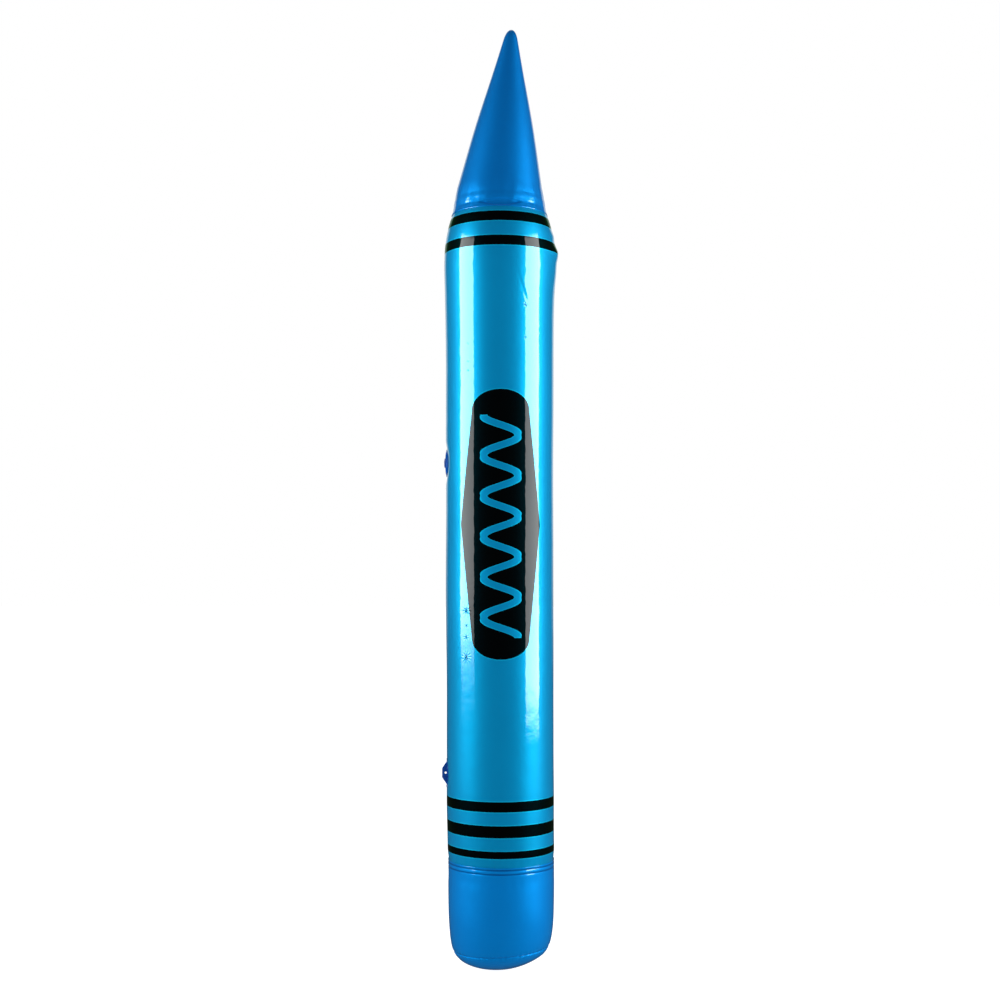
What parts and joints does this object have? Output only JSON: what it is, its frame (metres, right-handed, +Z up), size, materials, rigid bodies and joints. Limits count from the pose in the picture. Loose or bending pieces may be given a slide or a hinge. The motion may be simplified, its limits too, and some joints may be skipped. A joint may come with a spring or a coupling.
{
  "type": "inflatable toy crayon",
  "caption": "Tall inflatable vinyl crayon with a welded cone tip, printed tube, rounded base, push-in plug valve and moulded hang tab.",
  "frame": {"origin": "on the middle axis of the body tube, at the flat foot's underside, where the toy touches the floor", "axes": "+Z up the crayon towards its tip, -Y out of the side with the badge, -X out of the side with the valve and the hang tab"},
  "size_m": [0.1322, 0.1288, 1.0895],
  "materials": {
    "tinted_film": "translucent blue vinyl film, glossy",
    "pearl_film": "pearly turquoise printed vinyl film, glossy, with near-black printed bands and badge",
    "soft_moulding": "dark blue soft vinyl moulding, satin"
  },
  "bodies": {
    "skin": {"tip_cone": "tinted_film", "body_tube": "pearl_film", "base_cup": "tinted_film", "base_disc": "tinted_film", "valve_flange": "soft_moulding", "valve_diaphragm": "soft_moulding", "hang_tab_patch": "soft_moulding"},
    "stem": {"valve_stem": "soft_moulding", "plug_strap": "soft_moulding"},
    "plug": {"valve_plug": "soft_moulding"},
    "check_flap": {"valve_check_flap": "soft_moulding"},
    "tab": {"hang_tab": "soft_moulding"}
  },
  "joints": [
    {"name": "stem_slide", "type": "slide", "parent": "skin", "child": "stem", "axis": [-1, 0, 0], "range_m": [0, 0.009]},
    {"name": "plug_hinge", "type": "hinge", "parent": "stem", "child": "plug", "pos_m": [-0.0639, 0.007, 0.5847], "axis": [0, 0, -1], "range_deg": [0, 135]},
    {"name": "check_flap_hinge", "type": "hinge", "parent": "stem", "child": "check_flap", "pos_m": [-0.05145, 0, 0.5898], "axis": [0, -1, 0], "range_deg": [0, 65], "stiffness_Nm_per_rad": 0.00002},
    {"name": "tab_fold", "type": "hinge", "parent": "skin", "child": "tab", "pos_m": [-0.0603, 0, 0.2245], "axis": [0, 0, 1], "range_deg": [-70, 70], "stiffness_Nm_per_rad": 0.0005}
  ]
}
